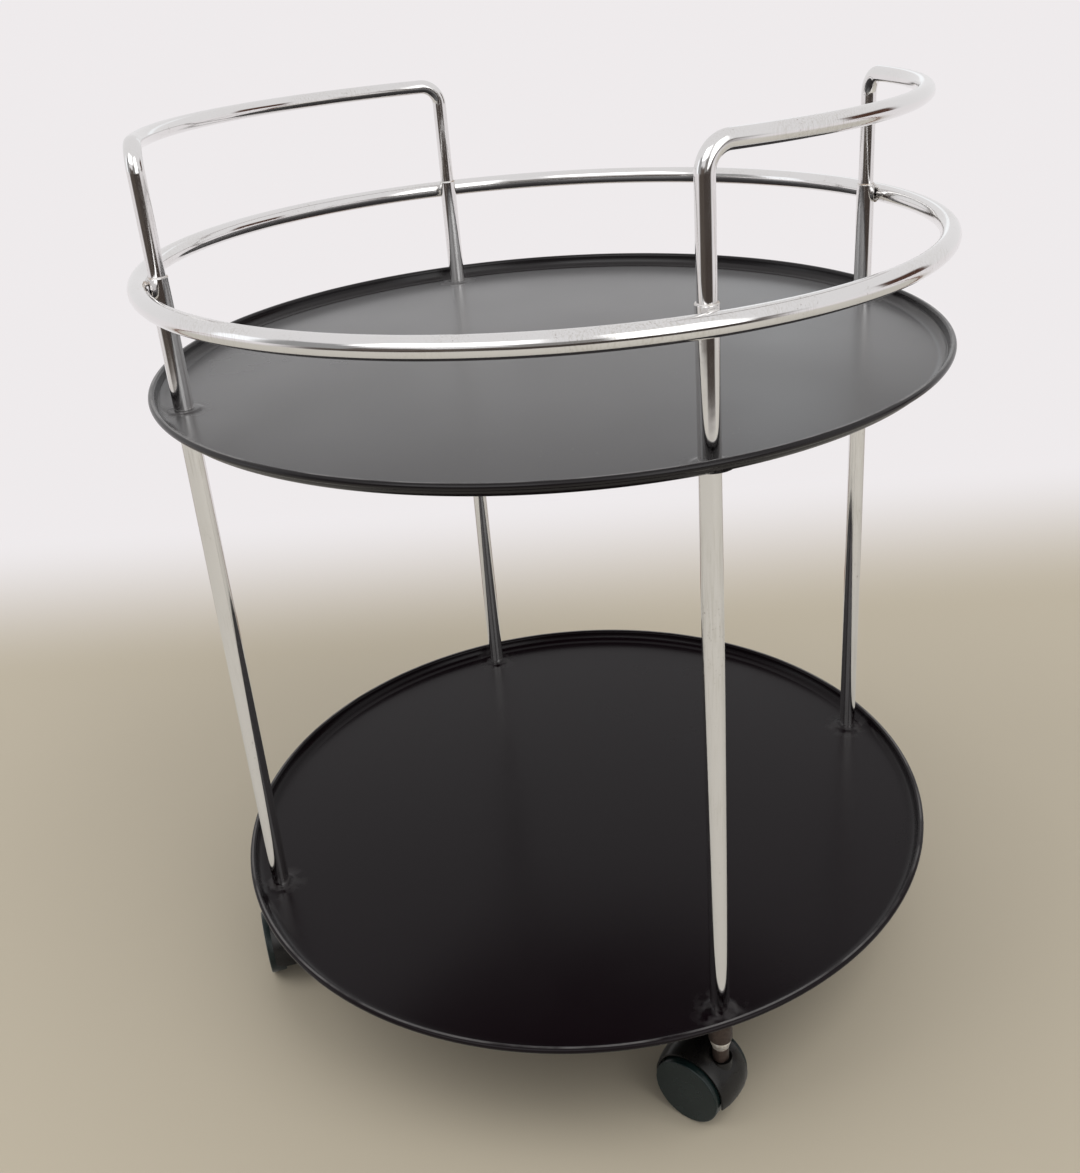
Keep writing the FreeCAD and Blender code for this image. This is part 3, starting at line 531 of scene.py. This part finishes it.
# The boss is joined on, and the stem's bore and the cup above it are cut out.
bpy.ops.object.select_all(action="DESELECT")
bpy.ops.mesh.primitive_cylinder_add(vertices=64, radius=BOSS_RADIUS, depth=BOSS_LENGTH,
                                    location=(-TRAIL, 0, BOSS_MIDDLE))
combine(hood, bpy.context.object, "UNION")
recess = lathe("recess", [(0.0040, STEM_BORE_FOOT), (STEM_BORE, STEM_BORE_FOOT),
                          (STEM_BORE, STEM_SEAT), (CUP_FOOT_RADIUS, STEM_SEAT),
                          (CUP_TOP_RADIUS, CUP_TOP)])
recess.location = (-TRAIL, 0, 0)
combine(hood, recess, "DIFFERENCE")
soften(hood, HOOD_ROUND, 3, 32, 30)
hood.data.materials.append(hood_black)
axle_places = {}
for corner, (x, y, turn) in CORNERS.items():
    axle_x = x + TRAIL * math.cos(math.radians(turn))
    axle_y = y + TRAIL * math.sin(math.radians(turn))
    axle_places[corner] = (axle_x, axle_y, turn)
    settle(hood, "castor_hood_" + corner + "_look", axle_x, axle_y, AXLE_HEIGHT, turn,
           "castor_" + corner, "castor_hood_" + corner)
bpy.data.objects.remove(hood)

# Castor wheels: hard plastic with a smooth, slightly domed outer face, a
# rounded tread edge and an open back with a hub. Two on each axle.
WHEEL_RADIUS = 0.0225
WHEEL_FACE = 0.0202
TREAD_ROUND = 0.0012
DOME = 0.0007
DOME_RINGS = 12
RIM_INSIDE = 0.0189
RIM_FOOT = 0.0085
HUB_RADIUS = 0.00445
HUB_FOOT = 0.0036
AXLE_BORE = 0.00255
WHEEL_FLOOR = 0.0169
MIDDLE_POINT = 0.0001
wheel_black = moulded("wheel_plastic", (0.0055, 0.0118, 0.0112), (0.0080, 0.0152, 0.0145), 0.24)
flat = WHEEL_RADIUS - TREAD_ROUND
dome_radius = (flat ** 2 + DOME ** 2) / (2 * DOME)
wheel_profile = [(MIDDLE_POINT, WHEEL_FACE)]
for ring in range(1, DOME_RINGS + 1):
    r = flat * ring / DOME_RINGS
    wheel_profile.append((r, WHEEL_FACE - dome_radius + math.sqrt(dome_radius ** 2 - r ** 2)))
wheel_profile += arc(flat, WHEEL_FACE - DOME - TREAD_ROUND, TREAD_ROUND, 90, 0, 8)[1:]
wheel_profile += [
    (WHEEL_RADIUS, 0.0093), (0.0223, 0.0087), (0.0217, RIM_FOOT), (0.0191, RIM_FOOT),
    (RIM_INSIDE, 0.0087), (RIM_INSIDE, 0.0165), (0.0184, WHEEL_FLOOR), (0.0050, WHEEL_FLOOR),
    (HUB_RADIUS, 0.0164), (HUB_RADIUS, 0.0038), (0.0042, HUB_FOOT), (AXLE_BORE, HUB_FOOT),
    (AXLE_BORE, 0.0175)]
wheel = lathe("castor_wheel_blank", wheel_profile, 96)
only(wheel)
bpy.ops.object.mode_set(mode="EDIT")
bpy.ops.mesh.select_all(action="SELECT")
bpy.ops.transform.rotate(value=math.pi / 2, orient_axis="X", center_override=(0, 0, 0))
bpy.ops.object.mode_set(mode="OBJECT")
smooth(wheel)
wheel.data.materials.append(wheel_black)
for corner, (axle_x, axle_y, turn) in axle_places.items():
    for side, facing in (("left", turn), ("right", turn + 180)):
        settle(wheel, "castor_%s_wheel_%s_look" % (side, corner), axle_x, axle_y, AXLE_HEIGHT,
               facing, "%s_wheel_%s" % (side, corner),
               "castor_%s_wheel_%s" % (side, corner))
bpy.data.objects.remove(wheel)

# Castor axles: bright turned pins pressed through the hoods' webs, with a
# wheel on each end. They stay as they are and take the bushes' steel.
for corner in CORNERS:
    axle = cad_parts["castor_axle_" + corner]
    axle.data.materials.clear()
    axle.data.materials.append(bright)

# Trays: two pressed steel discs, painted satin black. A short wall rises from
# the floor into a rim rolled outwards, and a low round seat is pressed up
# under each post.
LOWER_FLOOR = 0.083
UPPER_FLOOR = 0.443
SHEET = 0.0008
SEAT_RISE = 0.0008
FLOOR_EDGE = 0.2400
WALL_CENTRE = 0.2428
WALL_ROUND = 0.0070
BEAD_CENTRE = 0.2519
BEAD_HEIGHT = 0.0072
BEAD_RADIUS = 0.0021
CURL_END = -110
EDGE_PAINT_FROM = 0.2490
SEAT_PROFILE = [(0.0130, -0.0003), (0.0130, 0.00002), (0.0120, 0.00003), (0.0111, 0.00013),
                (0.0103, 0.00033), (0.0096, 0.00056), (0.0090, 0.00072), (0.0084, SEAT_RISE)]
SEAT_POCKET = 0.0090
POCKET_DEPTH = 0.0012
DUST = (0.090, 0.084, 0.084)
# Paler colour for the painted highlight along the rim's crest.
PAINTED_CREST_HIGHLIGHT = (0.115, 0.110, 0.108)


def tray_paint(name, floor_height, base, haze, gloss):
    """Satin black paint, wiped in patches, with dust left round the posts' feet
    and a painted highlight along the crest of the rim, broken into patches."""
    material, place = start_finish(name)
    crest = floor_height + BEAD_HEIGHT + BEAD_RADIUS
    height = place.add("ShaderNodeSeparateXYZ", {}, {0: place}, "Z")
    # Painted highlight: the crest of the bead is painted paler in patches, standing in for
    # light caught along its top.
    wear_and_highlight = height.ramp(crest - 0.00018, crest - 0.00004) * place.noise(30, 3).ramp(0.30, 0.60)
    wiped = place.noise(7, 5, 0.6).ramp(0.3, 0.75)
    quarter = place.vector("ABSOLUTE").vector("MULTIPLY", (1, 1, 0))
    from_post = quarter.vector("DISTANCE", (CORNER, CORNER, 0), "Value")
    smear = place.noise(110, 2).ramp(0.40, 0.66) * (1 - from_post.ramp(0.006, 0.021))
    specks = place.noise(1500, 2).ramp(0.72, 0.80) * place.noise(60, 3).ramp(0.45, 0.7)
    dust = (smear * 0.45).larger(specks * 0.30)
    end_finish(place, {
        "Base Color": wear_and_highlight.blend(dust.blend(base, DUST), PAINTED_CREST_HIGHLIGHT),
        "Roughness": wiped * 0.07 + dust * 0.5 + 0.21,
        "Normal": place.noise(900, 2).bump(0.04, 0.0002),
        "IOR": gloss, "Sheen Weight": haze, "Sheen Roughness": 0.30,
    })
    return material


def make_tray(name, floor_height, paint, edge_paint, node):
    """Lathe the sheet with its rim, then raise the four seats."""
    profile = [(FLOOR_EDGE, 0.0)] + arc(WALL_CENTRE, WALL_ROUND, WALL_ROUND, -90, 0, 10)
    profile += arc(BEAD_CENTRE, BEAD_HEIGHT, BEAD_RADIUS, 180, CURL_END, 28)
    profile += arc(BEAD_CENTRE, BEAD_HEIGHT, BEAD_RADIUS - SHEET, CURL_END, 180, 24)
    profile += reversed(arc(WALL_CENTRE, WALL_ROUND, WALL_ROUND + SHEET, -90, 0, 10))
    profile += [(FLOOR_EDGE, -SHEET)]
    tray = lathe(name, profile, 288)
    for x, y, _ in CORNERS.values():
        seat = lathe("seat", SEAT_PROFILE)
        seat.location = (x, y, 0)
        combine(tray, seat, "UNION")
        bpy.ops.object.select_all(action="DESELECT")
        bpy.ops.mesh.primitive_cylinder_add(vertices=64, radius=SEAT_POCKET,
                                            depth=POCKET_DEPTH,
                                            location=(x, y, -POCKET_DEPTH / 2))
        combine(tray, bpy.context.object, "DIFFERENCE")
    only(tray)
    tray.location = (0, 0, floor_height)
    bpy.ops.object.transform_apply(location=True)
    smooth(tray)
    tray.data.materials.append(paint)
    tray.data.materials.append(edge_paint)
    # The rim and the underside take the edge paint. On the upper tray this is the darker copy,
    # without the painted sheen.
    for face in tray.data.polygons:
        on_rim = math.hypot(face.center.x, face.center.y) > EDGE_PAINT_FROM
        face.material_index = int(on_rim or face.normal.z < -0.1)
    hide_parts(node)
    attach(tray, "frame")


# The trays get lit and shaded copies of one paint. The upper tray's floor has strong sheen, a
# higher IOR and a paler base, which paint on it the light of the open room. The lower tray's
# has little sheen, a low IOR and a darker base, which paint the shade under the upper tray. The
# upper rim and underside take a darker copy with little sheen.
shaded_rim_paint = tray_paint("upper_rim_shaded_paint", UPPER_FLOOR, (0.0046, 0.0030, 0.0038), 0.04, 1.38)
lit_upper_paint = tray_paint("upper_tray_lit_paint", UPPER_FLOOR, (0.0066, 0.0046, 0.0052), 0.80, 1.44)
shaded_lower_paint = tray_paint("lower_tray_shaded_paint", LOWER_FLOOR, (0.0046, 0.0020, 0.0032), 0.045, 1.25)
make_tray("lower_tray_look", LOWER_FLOOR, shaded_lower_paint, shaded_lower_paint, "lower_tray")
make_tray("upper_tray_look", UPPER_FLOOR, lit_upper_paint, shaded_rim_paint, "upper_tray")

# Lower posts: four 12 mm steel tubes, chromed, standing on the lower tray's
# seats and reaching up under the upper tray, which is bolted down on them.
TUBE = 0.006
LOWER_POST_BORE = 0.0050
BORE_DEPTH = 0.015
POST_EASE = 0.00025
BRIGHT_PLATE = (0.80, 0.79, 0.785)
STREAKED_PLATE = (0.68, 0.66, 0.63)
PITTED_PLATE = (0.20, 0.14, 0.10)
chrome, place = start_finish("chrome")
haze = place.noise(38, 5, 0.6).ramp(0.42, 0.78)
pitting = place.noise(700, 3, 0.6).ramp(0.60, 0.76) * place.noise(26, 4).ramp(0.52, 0.68)
drawn = place.vector("MULTIPLY", (1, 1, 0.05))
streaks = drawn.noise(1100, 2).ramp(0.40, 0.80) * place.noise(13, 3).ramp(0.44, 0.66)
plate = streaks.blend(BRIGHT_PLATE, STREAKED_PLATE)
end_finish(place, {
    "Base Color": (pitting * 0.8).blend(plate, PITTED_PLATE), "Metallic": 1.0,
    "Roughness": haze * 0.07 + 0.08 + streaks * 0.06 + pitting * 0.25,
    "Normal": (place.noise(55, 2) - pitting * 0.05).bump(0.10, 0.0006),
})


def make_post(name, bore, foot, top, x, y, node):
    """Straight tube, bored a little way in at both ends, its rims eased."""
    bpy.ops.object.select_all(action="DESELECT")
    bpy.ops.mesh.primitive_cylinder_add(vertices=48, radius=TUBE, depth=top - foot,
                                        location=(x, y, (foot + top) / 2))
    post = bpy.context.object
    post.name = name
    bpy.ops.object.transform_apply(location=True)
    bpy.ops.object.mode_set(mode="EDIT")
    bpy.ops.mesh.select_mode(type="FACE")
    bpy.ops.mesh.select_all(action="DESELECT")
    bpy.ops.object.mode_set(mode="OBJECT")
    for face in post.data.polygons:
        faces_up_or_down = abs(face.normal.z) > 0.9
        face.select = faces_up_or_down
    bpy.ops.object.mode_set(mode="EDIT")
    bpy.ops.mesh.inset(thickness=TUBE - bore, use_individual=True)
    bpy.ops.mesh.extrude_faces_move(TRANSFORM_OT_shrink_fatten={"value": -BORE_DEPTH})
    bpy.ops.mesh.select_all(action="SELECT")
    bpy.ops.mesh.normals_make_consistent(inside=False)
    bpy.ops.object.mode_set(mode="OBJECT")
    soften(post, POST_EASE, 2, 40, 15)
    post.data.materials.append(chrome)
    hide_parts(node)
    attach(post, "frame")


for corner, (x, y, _) in CORNERS.items():
    make_post("lower_post_" + corner + "_look", LOWER_POST_BORE, LOWER_FLOOR + SEAT_RISE,
              UPPER_FLOOR, x, y, "lower_post_" + corner)

# Upper posts: short tubes on the upper tray's seats, bolted through it to the
# lower ones. Their open tops take the thinner handle legs.
UPPER_POST_BORE = 0.0051
UPPER_POST_TOP = 0.5230
for corner, (x, y, _) in CORNERS.items():
    make_post("upper_post_" + corner + "_look", UPPER_POST_BORE, UPPER_FLOOR + SEAT_RISE,
              UPPER_POST_TOP, x, y, "upper_post_" + corner)

# Gallery ring: 12 mm chromed tube rolled into a hoop, standing against the
# outsides of the upper posts and welded to each.
RING_HEIGHT = 0.516
RING_RADIUS = 0.2466
bpy.ops.object.select_all(action="DESELECT")
bpy.ops.mesh.primitive_torus_add(major_segments=288, minor_segments=32,
                                 major_radius=RING_RADIUS, minor_radius=TUBE,
                                 location=(0, 0, RING_HEIGHT))
ring = bpy.context.object
ring.name = "ring_rail_look"
bpy.ops.object.transform_apply(location=True)
bpy.ops.object.shade_smooth()
ring.data.materials.append(chrome)
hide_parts("ring_rail")
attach(ring, "frame")

# Ring welds: short uneven beads above and below each place where the ring
# meets a post, plated with the tubes and browned at their edges.
WELD_RADIUS = 0.0016
WELD_REACH = 0.24145
WELD_LIFT = 0.0043
UPPER_WELD_HALF = 0.0034
LOWER_WELD_HALF = 0.0036
WELD_UNEVENNESS = 0.00018
PLATED_WELD = (0.80, 0.78, 0.76)
STAINED_WELD = (0.52, 0.43, 0.35)
weld_metal, place = start_finish("weld_metal")
stain = place.noise(260, 4).ramp(0.45, 0.7)
end_finish(place, {
    "Base Color": stain.blend(PLATED_WELD, STAINED_WELD), "Metallic": 1.0,
    "Roughness": stain * 0.15 + 0.48, "Normal": place.noise(380, 3).bump(0.12, 0.0004),
})


def make_uneven(amount, seed):
    """Put the active bead's place in its mesh, and make its surface uneven."""
    bpy.ops.object.transform_apply(location=True, rotation=True, scale=True)
    bpy.ops.object.mode_set(mode="EDIT")
    bpy.ops.mesh.select_all(action="SELECT")
    bpy.ops.transform.vertex_random(offset=amount, seed=seed)
    bpy.ops.object.mode_set(mode="OBJECT")


def join_beads(beads, name):
    """Make one smooth piece of weld metal out of its beads."""
    bpy.ops.object.select_all(action="DESELECT")
    for bead in beads:
        bead.select_set(True)
    bpy.context.view_layer.objects.active = beads[0]
    bpy.ops.object.join()
    welds = bpy.context.object
    welds.name = name
    bpy.ops.object.shade_smooth()
    welds.data.materials.append(weld_metal)
    return welds


beads = []
for x, y, _ in CORNERS.values():
    heading = math.atan2(y, x)
    for lift, half in ((WELD_LIFT, UPPER_WELD_HALF), (-WELD_LIFT, LOWER_WELD_HALF)):
        bpy.ops.object.select_all(action="DESELECT")
        bpy.ops.mesh.primitive_uv_sphere_add(
            segments=24, ring_count=12, radius=WELD_RADIUS,
            location=(WELD_REACH * math.cos(heading), WELD_REACH * math.sin(heading),
                      RING_HEIGHT + lift),
            rotation=(0, 0, heading), scale=(1, half / WELD_RADIUS, 1))
        beads.append(bpy.context.object)
        make_uneven(WELD_UNEVENNESS, len(beads))
ring_weld_count = len(beads)
ring_welds = join_beads(beads, "ring_welds_look")
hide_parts("ring_welds")
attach(ring_welds, "frame")

# Push handles: 10 mm chromed tube, each bent up from one post, along an
# outward bow and down into the next. The legs drop inside the upper posts.
GRIP_HEIGHT = 0.595
GRIP_RADIUS = 0.005
GRIP_BEND = 0.014
GRIP_BOW = 0.250
LEG_FOOT = 0.498
BEND_LEAD = 0.0005
BEND_STEPS = 14
BOW_STEPS = 72
bow_half = math.asin(CORNER / math.hypot(GRIP_BOW, GRIP_BEND)) - math.atan(GRIP_BEND / GRIP_BOW)
bow_centre = CORNER - GRIP_BOW * math.cos(bow_half) + GRIP_BEND * math.sin(bow_half)
grip_x = bow_centre + GRIP_BOW * math.cos(bow_half)
grip_y = GRIP_BOW * math.sin(bow_half)
bend_height = GRIP_HEIGHT - GRIP_BEND
leg_length = bend_height - LEG_FOOT - BEND_LEAD
bpy.ops.object.select_all(action="DESELECT")
bpy.ops.mesh.primitive_circle_add(vertices=40, radius=GRIP_RADIUS,
                                  location=(CORNER, -CORNER, LEG_FOOT))
handle = bpy.context.object
handle.name = "right_handle_look"
bpy.ops.object.transform_apply(location=True)
bpy.ops.object.mode_set(mode="EDIT")
bpy.ops.mesh.select_all(action="SELECT")
for rise in (leg_length, BEND_LEAD):
    bpy.ops.mesh.extrude_edges_move(TRANSFORM_OT_translate={"value": (0, 0, rise)})
bpy.ops.mesh.spin(steps=BEND_STEPS, angle=math.pi / 2, center=(grip_x, -grip_y, bend_height),
                  axis=(math.cos(bow_half), -math.sin(bow_half), 0))
bpy.ops.mesh.spin(steps=BOW_STEPS, angle=-2 * bow_half, center=(bow_centre, 0, GRIP_HEIGHT),
                  axis=(0, 0, 1))
bpy.ops.mesh.spin(steps=BEND_STEPS, angle=math.pi / 2, center=(grip_x, grip_y, bend_height),
                  axis=(math.cos(bow_half), math.sin(bow_half), 0))
for drop in (BEND_LEAD, leg_length):
    bpy.ops.mesh.extrude_edges_move(TRANSFORM_OT_translate={"value": (0, 0, -drop)})
bpy.ops.mesh.select_all(action="SELECT")
bpy.ops.mesh.remove_doubles(threshold=MERGE)
bpy.ops.mesh.fill_holes(sides=0)
bpy.ops.mesh.normals_make_consistent(inside=False)
bpy.ops.object.mode_set(mode="OBJECT")
smooth(handle, 40)
handle.data.materials.append(chrome)
settle(handle, "left_handle_look", 0, 0, 0, 180, "frame", "left_handle")
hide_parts("right_handle")
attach(handle, "frame")

# Handle welds: a small run of weld round each leg where it enters its post,
# of the ring welds' metal.
COLLAR_RADIUS = 0.0053
COLLAR_BEAD = 0.00065
COLLAR_LIFT = 0.00005
COLLAR_UNEVENNESS = 0.00012
collars = []
for x, y, _ in CORNERS.values():
    bpy.ops.object.select_all(action="DESELECT")
    bpy.ops.mesh.primitive_torus_add(major_segments=40, minor_segments=10,
                                     major_radius=COLLAR_RADIUS, minor_radius=COLLAR_BEAD,
                                     location=(x, y, UPPER_POST_TOP + COLLAR_LIFT))
    collars.append(bpy.context.object)
    make_uneven(COLLAR_UNEVENNESS, ring_weld_count + len(collars))
handle_welds = join_beads(collars, "handle_welds_look")
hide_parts("handle_welds")
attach(handle_welds, "frame")

# Joining hardware: threaded inserts in the post ends and the studs that run
# through the trays. Zinc plated, hidden once the table is together.
DULL_ZINC = (0.50, 0.50, 0.49)
CLEAN_ZINC = (0.60, 0.60, 0.60)
zinc, place = start_finish("zinc_plate")
cloud = place.noise(300, 3)
end_finish(place, {
    "Base Color": cloud.blend(DULL_ZINC, CLEAN_ZINC), "Metallic": 1.0,
    "Roughness": cloud * 0.2 + 0.3,
})
for node in ("tray_studs", "socket_studs", "upper_post_inserts", "lower_post_top_inserts",
             "lower_post_foot_inserts"):
    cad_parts[node].data.materials.clear()
    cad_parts[node].data.materials.append(zinc)
